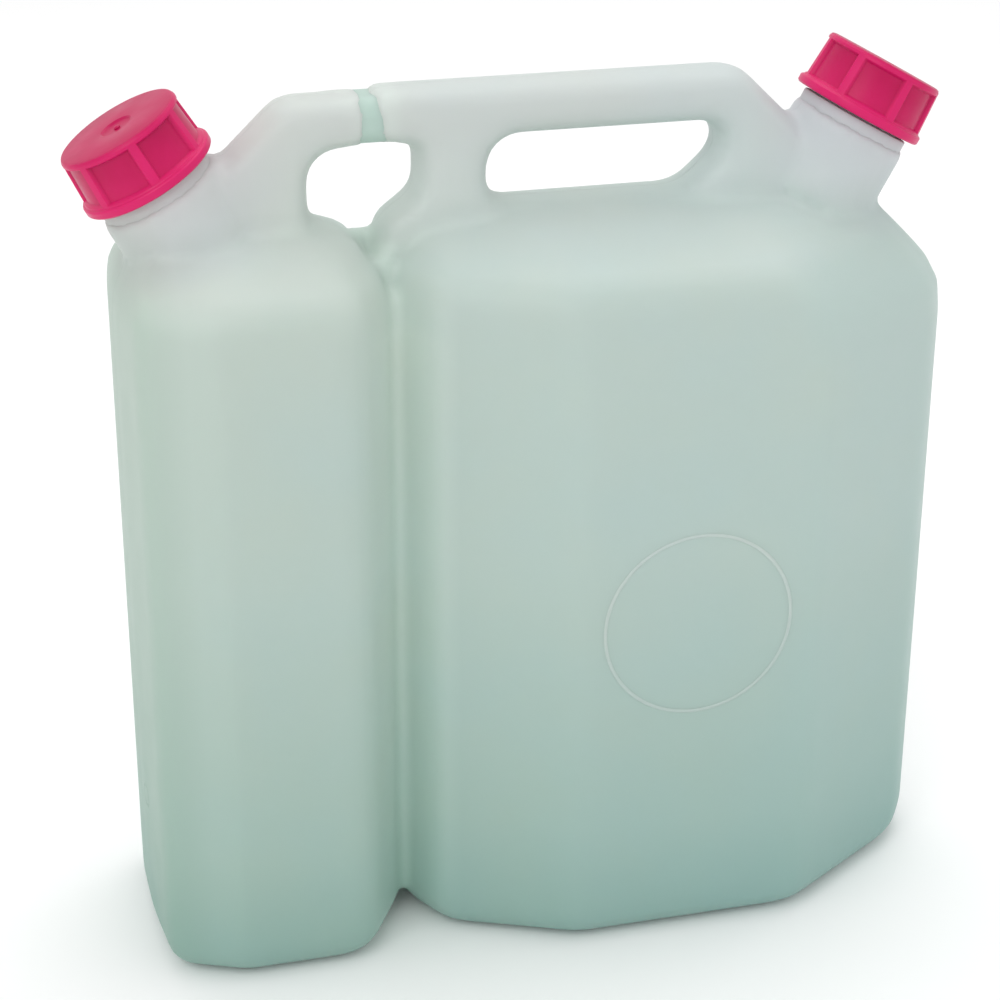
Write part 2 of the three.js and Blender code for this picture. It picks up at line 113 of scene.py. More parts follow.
@dataclass(frozen=True)
class Wire:
    """A socket whose numbers can be added, taken away and multiplied as in Python."""

    tree: bpy.types.NodeTree
    socket: bpy.types.NodeSocket

    def maths(self, operation: str, first: Value, second: Value = 0.0) -> "Wire":
        """Adds one Math node.

        Args:
            operation: The node's operation.
            first: Its first value.
            second: Its second value.

        Returns:
            The node's result.
        """
        node = self.tree.nodes.new("ShaderNodeMath")
        node.operation = operation
        for place, value in zip(node.inputs, (first, second)):
            if isinstance(value, Wire):
                self.tree.links.new(value.socket, place)
            else:
                place.default_value = value
        return Wire(self.tree, node.outputs[0])

    def __add__(self, other: Value) -> "Wire":
        """This and another value, added."""
        return self.maths("ADD", self, other)

    def __sub__(self, other: Value) -> "Wire":
        """Another value taken from this one."""
        return self.maths("SUBTRACT", self, other)

    def __rsub__(self, other: Value) -> "Wire":
        """This taken from another value."""
        return self.maths("SUBTRACT", other, self)

    def __mul__(self, other: Value) -> "Wire":
        """This and another value, multiplied."""
        return self.maths("MULTIPLY", self, other)

    def __truediv__(self, other: Value) -> "Wire":
        """This divided by another value."""
        return self.maths("DIVIDE", self, other)

    __radd__ = __add__
    __rmul__ = __mul__

    def above(self, other: Value) -> "Wire":
        """The larger of this and another value."""
        return self.maths("MAXIMUM", self, other)

    def below(self, other: Value) -> "Wire":
        """The smaller of this and another value."""
        return self.maths("MINIMUM", self, other)

    def root(self) -> "Wire":
        """This one's square root."""
        return self.maths("SQRT", self)

    def size(self) -> "Wire":
        """This without its sign."""
        return self.maths("ABSOLUTE", self)

    def hill(self, middle: float, width: float) -> "Wire":
        """A bump of 1 where this is at a middle value, down to 0 a width away.

        Args:
            middle: Where the hill's top is.
            width: How far its foot is from the top.

        Returns:
            The hill, from 0 to 1.
        """
        return (1 - (self - middle).size() / width).above(0.0)


class Finish:
    """Builds one node material on a Principled shader."""

    def __init__(self, name: str) -> None:
        """Starts a material.

        Args:
            name: The material's name.
        """
        self.material = bpy.data.materials.new(name)
        self.material.use_nodes = True
        self.tree = self.material.node_tree
        self.tree.nodes.clear()
        self.output = self.tree.nodes.new("ShaderNodeOutputMaterial")
        self.shader = self.tree.nodes.new("ShaderNodeBsdfPrincipled")
        self.tree.links.new(self.shader.outputs[0], self.output.inputs["Surface"])
        self.place = self.node("ShaderNodeTexCoord").outputs["Object"]

    def node(self, kind: str, settings: dict | None = None, inputs: dict | None = None) -> bpy.types.Node:
        """Adds any node.

        Args:
            kind: The node's type.
            settings: Its settings, set first. "stops" are a ramp's places and colours.
            inputs: Values or links for its sockets, by name or number.

        Returns:
            The node.
        """
        made = self.tree.nodes.new(kind)
        for key, value in (settings or {}).items():
            if key == "stops":
                self.set_stops(made.color_ramp, value)
            else:
                setattr(made, key, value)
        for key, value in (inputs or {}).items():
            self.feed(made.inputs[key], value)
        return made

    def feed(self, socket: bpy.types.NodeSocket, value: object) -> None:
        """Links or sets one socket.

        Args:
            socket: The socket.
            value: A Wire, a socket or a plain value.
        """
        if isinstance(value, Wire):
            self.tree.links.new(value.socket, socket)
        elif isinstance(value, bpy.types.NodeSocket):
            self.tree.links.new(value, socket)
        else:
            socket.default_value = value

    @staticmethod
    def set_stops(ramp: bpy.types.ColorRamp, stops: list[tuple[float, tuple[float, float, float]]]) -> None:
        """Fills a ramp.

        Args:
            ramp: The ramp.
            stops: Its places and linear colours, from the lowest place up.
        """
        while len(ramp.elements) > 1:
            ramp.elements.remove(ramp.elements[-1])
        ramp.elements[0].position = stops[0][0]
        ramp.elements[0].color = (*stops[0][1], 1)
        for place, colour in stops[1:]:
            element = ramp.elements.new(place)
            element.color = (*colour, 1)

    def part(self, axis: Axis) -> Wire:
        """One part of the point being shaded, in metres.

        Args:
            axis: Which part.

        Returns:
            The part.
        """
        if not hasattr(self, "parts"):
            self.parts = self.node("ShaderNodeSeparateXYZ", inputs={0: self.place})
        return Wire(self.tree, self.parts.outputs[axis.value])

    def distance(self, centre: Vector) -> Wire:
        """How far the point being shaded is from a centre.

        Args:
            centre: The centre, in metres.

        Returns:
            The distance, in metres.
        """
        made = self.node("ShaderNodeVectorMath", {"operation": "DISTANCE"}, {0: self.place, 1: tuple(centre)})
        return Wire(self.tree, made.outputs["Value"])

    def radius_about(self, frame_of_neck: NeckFrame) -> Wire:
        """How far the point being shaded is from a neck's axis.

        Args:
            frame_of_neck: The neck's frame.

        Returns:
            The distance, in metres.
        """
        parts = [self.part(axis) - frame_of_neck.origin[axis.value] for axis in Axis]
        along = sum((part * frame_of_neck.axis[axis.value] for part, axis in zip(parts, Axis)), start=0.0)
        return (sum((part * part for part in parts), start=0.0) - along * along).above(0.0).root()

    def noise(self, scale: float, detail: float = 2.0, roughness: float = 0.5) -> Wire:
        """Soft noise on the piece.

        Args:
            scale: Its grain, in cells a metre.
            detail: How many finer layers it has.
            roughness: How strong those are.

        Returns:
            The noise, about 0.5 on average.
        """
        made = self.node("ShaderNodeTexNoise", inputs={"Vector": self.place, "Scale": scale, "Detail": detail,
                                                       "Roughness": roughness})
        return Wire(self.tree, made.outputs[0])

    def ramp(self, factor: Wire, stops: list[tuple[float, tuple[float, float, float]]]) -> bpy.types.NodeSocket:
        """Colours along a value.

        Args:
            factor: The value, from 0 to 1.
            stops: Places and linear colours.

        Returns:
            The colour.
        """
        return self.node("ShaderNodeValToRGB", {"stops": stops}, {0: factor}).outputs[0]

    def mix(self, factor: Value, first: object, second: object, blend: str = "MIX") -> bpy.types.NodeSocket:
        """Two colours mixed.

        Args:
            factor: How much of the second there is.
            first: The first colour or its socket.
            second: The second colour or its socket.
            blend: How they are mixed.

        Returns:
            The mixed colour.
        """
        made = self.node("ShaderNodeMix", {"data_type": "RGBA", "blend_type": blend})
        self.feed(made.inputs["Factor"], factor)
        self.feed(made.inputs[6], first)
        self.feed(made.inputs[7], second)
        return made.outputs[2]

    def bump(self, height: Wire) -> None:
        """Raises the surface by a height.

        Args:
            height: The height, in millimetres.
        """
        made = self.node("ShaderNodeBump", inputs={"Height": height, "Distance": MM, "Strength": 1.0})
        self.tree.links.new(made.outputs[0], self.shader.inputs["Normal"])


def linear(red: float, green: float, blue: float) -> tuple[float, float, float]:
    """A colour as a picture stores it, from 0 to 255, made linear.

    Args:
        red: Its red.
        green: Its green.
        blue: Its blue.

    Returns:
        The linear colour.
    """
    def one(value: float) -> float:
        """One part made linear."""
        share = value / 255
        return share / 12.92 if share <= 0.04045 else ((share + 0.055) / 1.055) ** 2.4

    return one(red), one(green), one(blue)


@dataclass(frozen=True)
class MilkyPolyethylene:
    """The blown body's plastic: milky and a little green, with painted shade: lighter where it is high and darker where
    it is low, as the light falls from above.

    Attributes:
        foot: The colour at the rounded edge of the base, the darkest of the painted shade towards the bottom.
        low: The colour a little above it, still in painted shade.
        middle: The colour halfway up the walls.
        high: The colour of the shoulders' lower edge, painted lighter by the light from above.
        crook: The painted light where the shoulders meet the handle and light comes through both.
        top: The colour of the handle, painted lighter by the light from above.
        warm: What the oil end's colour is multiplied by.
        cool: What the fuel end's colour is multiplied by.
        painted_cap_glow: What the colour is multiplied by near a cap, painted light for the caps' red shining into the
            plastic.
        through: What the colour is multiplied by in the groove, painted light where light comes through both walls.
        end: What the colour is multiplied by on the oil end, painted shade as it faces away from the light.
        groove: Where the groove is along the can, in metres.
        groove_reach: How far from it the light comes through.
        groove_top: The height at which that light has ended.
        groove_fade: How much of that light is gained a metre further down.
        end_place: Where the oil end is along the can.
        end_reach: How far from it the colour is changed.
        glow_reach: How far from a cap its painted red glow reaches.
        grain: The depth of the fine surface grain, in millimetres.
        reach: The height at which the colour is the handle's, in metres.
    """

    foot: tuple[float, float, float] = linear(134, 169, 161)
    low: tuple[float, float, float] = linear(156, 184, 175)
    middle: tuple[float, float, float] = linear(177, 198, 190)
    high: tuple[float, float, float] = linear(184, 202, 194)
    crook: tuple[float, float, float] = linear(203, 215, 210)
    top: tuple[float, float, float] = linear(199, 208, 204)
    warm: tuple[float, float, float] = (1.02, 1.0, 0.97)
    cool: tuple[float, float, float] = (0.975, 1.0, 1.015)
    painted_cap_glow: tuple[float, float, float] = (0.93, 0.84, 0.93)
    through: tuple[float, float, float] = (1.34, 1.27, 1.26)
    end: tuple[float, float, float] = (0.78, 0.83, 0.79)
    groove: float = -0.0548
    groove_reach: float = 0.02
    groove_top: float = 0.28
    groove_fade: float = 40.0
    end_place: float = -0.165
    end_reach: float = 0.03
    glow_reach: float = 0.052
    grain: float = 0.03
    reach: float = 0.342

    def colour_and_painted_light(self, finish: Finish, height: Wire) -> bpy.types.NodeSocket:
        """The plastic's colour with painted light and shade: painted shade towards the bottom, a warm and cool change
        along the can, a painted red glow near the caps, painted light in the groove and painted shade on the oil end.

        Args:
            finish: The material being built.
            height: The point's height, in metres.

        Returns:
            The colour.
        """
        cloud = finish.noise(11.0, 3.0) - 0.5
        # Painted shade: the colour is darker towards the bottom and lighter high up, as the light falls from above.
        level = height / self.reach + cloud * 0.05
        stops = [(0.0, self.foot), (0.16, self.low), (0.5, self.middle), (0.8, self.high), (0.885, self.crook),
                 (0.96, self.top)]
        plain = finish.ramp(level, stops)
        along = finish.part(Axis.X) * 2.4 + 0.5 + (finish.noise(17.0, 3.0) - 0.5) * 1.3
        shift = finish.ramp(along, [(0.15, self.warm), (0.85, self.cool)])
        shifted = finish.mix(1.0, plain, shift, "MULTIPLY")
        # Painted light: the colour near each cap is multiplied towards mauve, standing in for the red light that the
        # caps shine into the plastic.
        near = finish.distance(NeckFrame.of(Neck.OIL).origin).below(finish.distance(NeckFrame.of(Neck.FUEL).origin))
        glow = (1 - near / self.glow_reach).above(0.0)
        with_painted_cap_glow = finish.mix(glow * 1.1, shifted, finish.mix(1.0, shifted, (*self.painted_cap_glow, 1), "MULTIPLY"))
        # Painted light: the groove is painted lighter where light comes through both walls, fading out towards its top.
        below_top = (height * -self.groove_fade + self.groove_fade * self.groove_top).above(0.0).below(1.0)
        groove = finish.part(Axis.X).hill(self.groove, self.groove_reach) * below_top
        lit = finish.mix(groove, with_painted_cap_glow, finish.mix(1.0, with_painted_cap_glow, (*self.through, 1), "MULTIPLY"))
        # Painted shade: the oil end, which faces away from the light, is painted darker.
        end = finish.part(Axis.X).hill(self.end_place, self.end_reach)
        return finish.mix(end, lit, finish.mix(1.0, lit, (*self.end, 1), "MULTIPLY"))

    def material(self, name: str, relief: Callable[[Finish], Wire] | None = None) -> bpy.types.Material:
        """Makes the plastic.

        Args:
            name: The material's name.
            relief: What gives the moulded relief's height, in millimetres, on top of the grain.

        Returns:
            The material.
        """
        finish = Finish(name)
        shader = finish.shader
        height = finish.part(Axis.Z)
        finish.feed(shader.inputs["Base Color"], self.colour_and_painted_light(finish, height))
        roughness = 0.4 + finish.noise(60.0, 2.0) * 0.16
        finish.feed(shader.inputs["Roughness"], roughness)
        shader.inputs["IOR"].default_value = 1.5
        shader.inputs["Specular IOR Level"].default_value = 0.35
        shader.inputs["Subsurface Weight"].default_value = 0.35
        shader.inputs["Subsurface Radius"].default_value = (0.012, 0.014, 0.012)
        shader.inputs["Subsurface Scale"].default_value = 1.0
        surface = finish.noise(420.0, 3.0) * self.grain + finish.noise(26.0, 1.0) * 0.25
        if relief:
            surface = surface + relief(finish)
        finish.bump(surface)
        return finish.material


@dataclass(frozen=True)
class CapPlastic:
    """The caps' red-pink moulded plastic, with painted shade in its sunk panels.

    Attributes:
        base: Its colour on the ribs and the flange.
        panel_shade: Its colour in the sunk panels, painted darker as shade falls in the recesses.
        panel: The distance from the axis inside which the colour is the panels' painted shade, in metres.
        rib: The distance at which it is pale again.
    """

    base: tuple[float, float, float] = linear(210, 32, 102)
    panel_shade: tuple[float, float, float] = linear(182, 14, 80)
    panel: float = 0.0226
    rib: float = 0.0242

    def material(self, name: str, neck: NeckFrame) -> bpy.types.Material:
        """Makes the plastic.

        Args:
            name: The material's name.
            neck: The neck that the cap stands on.

        Returns:
            The material.
        """
        finish = Finish(name)
        shader = finish.shader
        cloud = (finish.noise(90.0, 3.0) - 0.5) * 0.5
        # Painted shade: the sunk panels are coloured darker than the ribs and the flange, as shade falls in the
        # recesses.
        out = ((finish.radius_about(neck) - self.panel) / (self.rib - self.panel)).above(0.0).below(1.0)
        finish.feed(shader.inputs["Base Color"], finish.mix((out * 0.85 + 0.1 + cloud).above(0.0).below(1.0),
                                                            (*self.panel_shade, 1), (*self.base, 1)))
        finish.feed(shader.inputs["Roughness"], 0.26 + finish.noise(140.0, 2.0) * 0.16)
        shader.inputs["IOR"].default_value = 1.5
        shader.inputs["Specular IOR Level"].default_value = 0.2
        shader.inputs["Subsurface Weight"].default_value = 0.12
        shader.inputs["Subsurface Radius"].default_value = (0.003, 0.0008, 0.0012)
        shader.inputs["Subsurface Scale"].default_value = 1.0
        finish.bump(finish.noise(900.0, 2.0) * 0.02 + finish.noise(70.0, 1.0) * 0.06)
        return finish.material


@dataclass(frozen=True)
class SealFoam:
    """The sealing discs' pale foamed plastic.

    Attributes:
        pale: The colour of its skin.
        shade: The colour of its pores.
    """

    pale: tuple[float, float, float] = linear(226, 226, 218)
    shade: tuple[float, float, float] = linear(196, 197, 188)

    def material(self, name: str) -> bpy.types.Material:
        """Makes the foam.

        Args:
            name: The material's name.

        Returns:
            The material.
        """
        finish = Finish(name)
        cells = finish.noise(1400.0, 3.0, 0.7)
        finish.feed(finish.shader.inputs["Base Color"], finish.mix(cells, (*self.shade, 1), (*self.pale, 1)))
        finish.feed(finish.shader.inputs["Roughness"], 0.62 + cells * 0.2)
        finish.bump(cells * 0.08)
        return finish.material


class Bench:
    """What all the can's classes use to put finished meshes in the scene."""

    @staticmethod
    def place(name: str, shape: bmesh.types.BMesh, material: bpy.types.Material,
              smooth: float = 0.6) -> bpy.types.Object:
        """Makes an object of a finished shape.

        Args:
            name: The object's name.
            shape: The shape, which is freed.
            material: Its material.
            smooth: The angle between faces, in radians, above which an edge stays sharp.

        Returns:
            The object.
        """
        bmesh.ops.remove_doubles(shape, verts=shape.verts, dist=1e-7)
        bmesh.ops.recalc_face_normals(shape, faces=shape.faces)
        mesh = bpy.data.meshes.new(name)
        shape.to_mesh(mesh)
        shape.free()
        mesh.materials.append(material)
        mesh.shade_smooth()
        mesh.set_sharp_from_angle(angle=smooth)
        made = bpy.data.objects.new(name, mesh)
        bpy.context.scene.collection.objects.link(made)
        return made

    @staticmethod
    def settle(made: bpy.types.Object) -> bpy.types.Object:
        """Applies an object's modifiers.

        Args:
            made: The object.

        Returns:
            The same object with the finished mesh.
        """
        graph = bpy.context.evaluated_depsgraph_get()
        finished = bpy.data.meshes.new_from_object(made.evaluated_get(graph))
        made.modifiers.clear()
        made.data = finished
        return made

    @staticmethod
    def report(made: bpy.types.Object, body: str) -> None:
        """Lets a piece ride on its body, and logs it.

        Args:
            made: The piece.
            body: The body.
        """
        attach(made, body)
        log.info("%s: %d faces, rides on %s", made.name, len(made.data.polygons), body)


def spun(profile: list[tuple[float, float]], steps: int) -> bmesh.types.BMesh:
    """A turned shape about Z.

    Args:
        profile: Radii and heights in millimetres, in order round the section.
        steps: How many steps the turn has.

    Returns:
        The shape, closed, in metres.
    """
    shape = bmesh.new()
    points = [shape.verts.new((radius * MM, 0, height * MM)) for radius, height in profile]
    edges = [shape.edges.new(pair) for pair in zip(points, points[1:])]
    if profile[0][0] > 0:
        edges.append(shape.edges.new((points[-1], points[0])))
    bmesh.ops.spin(shape, geom=points + edges, cent=(0, 0, 0), axis=(0, 0, 1), angle=math.tau, steps=steps,
                   use_merge=True, use_duplicate=False)
    bmesh.ops.remove_doubles(shape, verts=shape.verts, dist=1e-6)
    bmesh.ops.recalc_face_normals(shape, faces=shape.faces)
    return shape


@dataclass(frozen=True)
class Bar:
    """A piece of the handle's section, drawn along the can.

    Attributes:
        start: Where it starts, in millimetres.
        end: Where it ends.
        low: Its lower face.
        high: Its upper face.
        half_depth: Half its thickness from front to back.
        edge: The rounding of its long edges.
    """

    start: float
    end: float
    low: float
    high: float
    half_depth: float
    edge: float = 7.2

    def add_to(self, shape: bmesh.types.BMesh) -> None:
        """Adds the bar to a shape.

        Args:
            shape: The shape, in metres.
        """
        size = Matrix.Diagonal(((self.end - self.start) * MM, 2 * self.half_depth * MM, (self.high - self.low) * MM, 1))
        centre = Matrix.Translation(Vector(((self.start + self.end) / 2, 0, (self.low + self.high) / 2)) * MM)
        corners = bmesh.ops.create_cube(shape, size=1, matrix=centre @ size)["verts"]
        sides = {edge for corner in corners for edge in corner.link_edges}
        long_edges = [edge for edge in sides if abs(edge.verts[0].co.x - edge.verts[1].co.x) > 1e-6]
        bmesh.ops.bevel(shape, geom=long_edges, offset=self.edge * MM, segments=8, affect="EDGES", profile=0.5)


@dataclass
class BlownBody:
    """The one-piece can: two chambers, the handle, the pinched web and both collars, soft as blow moulding leaves them.

    Attributes:
        voxel: The grid that the outer form is rebuilt on, in metres.
        softening: How often the rebuilt form is relaxed.
        cut: Where each neck is cut from the collar, above the cap's lower face, in millimetres.
        weld_x: The middle of the weld between the chambers, in millimetres.
        weld_width: Its width along the can.
        weld_half: How far the weld reaches to the front and to the back.
        weld_low: Where the weld starts.
        weld_top: Where the weld ends.
        mark_centre: The middle of the small round mark on the oil end.
        oil_arm_end: What fills out the end of the handle's oil arm against the pinched web.
        fuel_arm_end: What fills out the end of the handle's fuel arm against the pinched web.
    """

    voxel: float = 0.0024
    softening: int = 4
    cut: float = -3.6
    weld_x: float = -54.79
    weld_width: float = 4.6
    weld_half: float = 17.0
    weld_low: float = 17.0
    weld_top: float = 283.0
    mark_centre: tuple[float, float, float] = (-155.0, -14.0, 66.0)
    oil_arm_end: Bar = Bar(-72.0, -61.8, 320.8, 338.9, 12.9)
    fuel_arm_end: Bar = Bar(-55.6, -44.0, 321.4, 340.6, 12.9)

    def cad_shells(self) -> tuple[bmesh.types.BMesh, bmesh.types.BMesh]:
        """Copies the CAD node, cuts its necks off and parts its outer skin from its inner one.

        Returns:
            The outer skin and the inner skin, each closed.
        """
        shape = bmesh.new()
        shape.from_mesh(frame["nodes"]["can_body"].data)
        bmesh.ops.remove_doubles(shape, verts=shape.verts, dist=2e-6)
        for neck in Neck:
            self.cut_neck(shape, NeckFrame.of(neck))
        outer = self.island(shape, outermost=True)
        inner = self.island(shape, outermost=False)
        shape.free()
        return outer, inner

    def cut_neck(self, shape: bmesh.types.BMesh, neck: NeckFrame) -> None:
        """Cuts a neck off above its collar.

        Args:
            shape: The copied skin.
            neck: The neck.
        """
        def is_near(vert: bmesh.types.BMVert) -> bool:
            """Whether a corner belongs to the neck's tube."""
            offset = vert.co - neck.origin
            height = offset.dot(neck.axis)
            return height > -9 * MM and (offset - neck.axis * height).length < 21.5 * MM

        faces = [face for face in shape.faces if all(is_near(vert) for vert in face.verts)]
        edges = {edge for face in faces for edge in face.edges}
        verts = {vert for face in faces for vert in face.verts}
        bmesh.ops.bisect_plane(shape, geom=[*verts, *edges, *faces], plane_co=neck.origin + neck.axis * self.cut * MM,
                               plane_no=neck.axis, dist=1e-7, clear_outer=True)

    @staticmethod
    def island(shape: bmesh.types.BMesh, outermost: bool) -> bmesh.types.BMesh:
        """One connected skin of a shape, with its openings filled.

        Args:
            shape: The shape.
            outermost: Whether it is the skin that reaches highest, or the other.

        Returns:
            The skin.
        """
        top = max(shape.verts, key=lambda vert: vert.co.z)
        found = {top}
        front = [top]
        while front:
            front = [other for vert in front for edge in vert.link_edges for other in edge.verts if other not in found]
            front = list(dict.fromkeys(front))
            found.update(front)
        marks = [(vert in found) == outermost for vert in shape.verts]
        part = shape.copy()
        part.verts.ensure_lookup_table()
        bmesh.ops.delete(part, geom=[v for v, keep in zip(list(part.verts), marks) if not keep], context="VERTS")
        rims = [edge for edge in part.edges if edge.is_boundary]
        bmesh.ops.holes_fill(part, edges=rims, sides=0)
        return part

    def weld(self, skin: bmesh.types.BMesh) -> None:
        """Closes the slot between the chambers, where the mould welds their walls, and fills out both arms' ends.

        Args:
            skin: The outer skin, to which the weld and the ends are added.
        """
        height = self.weld_top - self.weld_low
        size = Matrix.Diagonal((self.weld_width * MM, 2 * self.weld_half * MM, height * MM, 1))
        centre = Matrix.Translation((self.weld_x * MM, 0, (self.weld_low + self.weld_top) / 2 * MM))
        bmesh.ops.create_cube(skin, size=1, matrix=centre @ size)
        self.oil_arm_end.add_to(skin)
        self.fuel_arm_end.add_to(skin)

    def hollow(self, made: bpy.types.Object, inner: bmesh.types.BMesh) -> None:
        """Takes the inside out of the softened form.

        Args:
            made: The softened form.
            inner: The inner skin, closed.
        """
        for neck in Neck:
            place = NeckFrame.of(neck)
            lid = [face for face in inner.faces if abs(abs(face.normal.dot(place.axis)) - 1) < 1e-3
                   and abs((face.calc_center_median() - place.origin).dot(place.axis) - self.cut * MM) < 1e-4
                   and (face.calc_center_median() - place.origin).length < 0.03]
            raised = bmesh.ops.extrude_face_region(inner, geom=lid)["geom"]
            lifted = [item for item in raised if isinstance(item, bmesh.types.BMVert)]
            bmesh.ops.translate(inner, verts=lifted, vec=place.axis * 8 * MM)
            bmesh.ops.delete(inner, geom=lid, context="FACES_ONLY")
        bmesh.ops.recalc_face_normals(inner, faces=inner.faces)
        mesh = bpy.data.meshes.new("inside")
        inner.to_mesh(mesh)
        inner.free()
        inside = bpy.data.objects.new("inside", mesh)
        bpy.context.scene.collection.objects.link(inside)
        cutter = made.modifiers.new("inside", "BOOLEAN")
        cutter.operation = "DIFFERENCE"
        cutter.solver = "EXACT"
        cutter.object = inside
        Bench.settle(made)
        bpy.data.objects.remove(inside)

    def relief(self, finish: Finish) -> Wire:
        """The fine relief that the mould leaves: the parting line and a small round mark.

        Args:
            finish: The material being built.

        Returns:
            Its height, in millimetres.
        """
        parting = finish.part(Axis.Y).hill(0.0002, 0.0006) * 0.22
        mark = finish.distance(Vector(self.mark_centre) * MM).hill(4.5 * MM, 0.9 * MM) * 0.4
        return parting + mark

    def build(self) -> bpy.types.Object:
        """Builds the body and lets it stand for the CAD node.

        Returns:
            The body.
        """
        outer, inner = self.cad_shells()
        self.weld(outer)
        mesh = bpy.data.meshes.new("blown_body")
        outer.to_mesh(mesh)
        outer.free()
        made = bpy.data.objects.new("blown_body", mesh)
        bpy.context.scene.collection.objects.link(made)
        rebuilt = made.modifiers.new("rebuild", "REMESH")
        rebuilt.mode = "VOXEL"
        rebuilt.voxel_size = self.voxel
        relaxed = made.modifiers.new("relax", "SMOOTH")
        relaxed.factor = 0.5
        relaxed.iterations = self.softening
        Bench.settle(made)
        self.hollow(made, inner)
        made.data.shade_smooth()
        made.data.materials.clear()
        made.data.materials.append(MilkyPolyethylene().material("milky_polyethylene", self.relief))
        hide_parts("can_body")
        Bench.report(made, "can")
        return made


@dataclass
class PinchedWeb:
    """The strip in the handle where the mould presses both walls into one, with its crisp edges and deeper colour.

    Attributes:
        bar: The strip's form.
    """

    bar: Bar = Bar(-64.4, -53.0, 321.5, 338.5, 12.3)

    def build(self) -> bpy.types.Object:
        """Builds the strip.

        Returns:
            The strip.
        """
        shape = bmesh.new()
        self.bar.add_to(shape)
        plastic = MilkyPolyethylene(crook=linear(176, 199, 191), top=linear(176, 199, 191))
        made = Bench.place("pinched_web", shape, plastic.material("web_polyethylene"))
        Bench.report(made, "can")
        return made


@dataclass
class RaisedRing:
    """The thin ring that stands out of the fuel chamber's front.

    Attributes:
        centre: Its middle, in millimetres.
        radius: Its radius.
        bead: The radius of its rounded section, most of which lies in the wall.
    """

    centre: tuple[float, float, float] = (54.2, -65.0, 140.0)
    radius: float = 37.5
    bead: float = 1.2

    @staticmethod
    def plastic() -> bpy.types.Material:
        """The can's plastic, a little paler than on the wall.

        Returns:
            The material.
        """
        return MilkyPolyethylene(low=linear(178, 202, 194), middle=linear(199, 216, 209)).material("ring_polyethylene")

    def build(self) -> bpy.types.Object:
        """Builds the ring.

        Returns:
            The ring.
        """
        section = [(self.radius + self.bead * math.cos(turn), self.bead * math.sin(turn))
                   for turn in (math.tau * step / 12 for step in range(12))]
        shape = spun(section, 120)
        upright = Matrix.Rotation(math.radians(90), 4, "X")
        bmesh.ops.transform(shape, matrix=Matrix.Translation(Vector(self.centre) * MM) @ upright, verts=shape.verts)
        made = Bench.place("raised_ring", shape, self.plastic(), 1.2)
        Bench.report(made, "can")
        return made


@dataclass
class NeckFinish:
    """The threaded mouth of a neck, above its collar.

    Attributes:
        neck: Which neck.
        radius: The outside of its wall, in millimetres.
        bead: The radius of the bead that the cap comes down to.
        bead_top: Where the bead ends.
        bore: The inside of its wall.
        top: Where its rim is.
        foot: Where its wall runs into the collar.
        pitch: The thread's rise in a turn.
        turns: How many turns the thread has.
    """

    neck: Neck
    radius: float = 18.8
    bead: float = 22.0
    bead_top: float = -0.8
    bore: float = 16.1
    top: float = 17.0
    foot: float = -6.0
    pitch: float = 6.0
    turns: float = 2.0

    def tube(self) -> bmesh.types.BMesh:
        """The wall, with a rounded rim and a small bead above the collar.

        Returns:
            The wall.
        """
        profile = [
            (self.bead, self.foot), (self.bead, self.bead_top - 0.6), (self.bead - 0.2, self.bead_top - 0.2),
            (self.bead - 0.6, self.bead_top), (self.radius, self.bead_top),
            (self.radius, self.top - 0.9), (self.radius - 0.3, self.top - 0.3),
            (self.radius - 0.9, self.top), (self.bore + 0.7, self.top), (self.bore + 0.2, self.top - 0.3),
            (self.bore, self.top - 0.9), (self.bore, self.foot),
        ]
        return spun(profile, 72)

    def thread(self) -> bmesh.types.BMesh:
        """The thread's ridge, drawn round the neck and up.

        Returns:
            The ridge.
        """
        shape = bmesh.new()
        low = 1.5
        section = [(self.radius - 0.4, low - 0.9), (self.radius + 0.5, low - 0.25), (self.radius + 0.5, low + 0.25),
                   (self.radius - 0.4, low + 0.9)]
        points = [shape.verts.new((radius * MM, 0, height * MM)) for radius, height in section]
        shape.faces.new(points)
        steps = int(48 * self.turns)
        rise = Vector((0, 0, self.pitch * self.turns * MM / steps))
        bmesh.ops.spin(shape, geom=list(shape.faces), cent=(0, 0, 0), axis=(0, 0, 1), dvec=rise,
                       angle=math.tau * self.turns, steps=steps, use_merge=False, use_duplicate=False)
        bmesh.ops.recalc_face_normals(shape, faces=shape.faces)
        return shape

    def build(self) -> list[bpy.types.Object]:
        """Builds the mouth.

        Returns:
            Its pieces.
        """
        plastic = MilkyPolyethylene().material(f"{self.neck.value}_mouth_plastic")
        made = []
        for name, shape in (("mouth", self.tube()), ("thread", self.thread())):
            bmesh.ops.transform(shape, matrix=NeckFrame.of(self.neck).matrix(), verts=shape.verts)
            piece = Bench.place(f"{self.neck.value}_{name}", shape, plastic)
            Bench.report(piece, "can")
            made.append(piece)
        return made


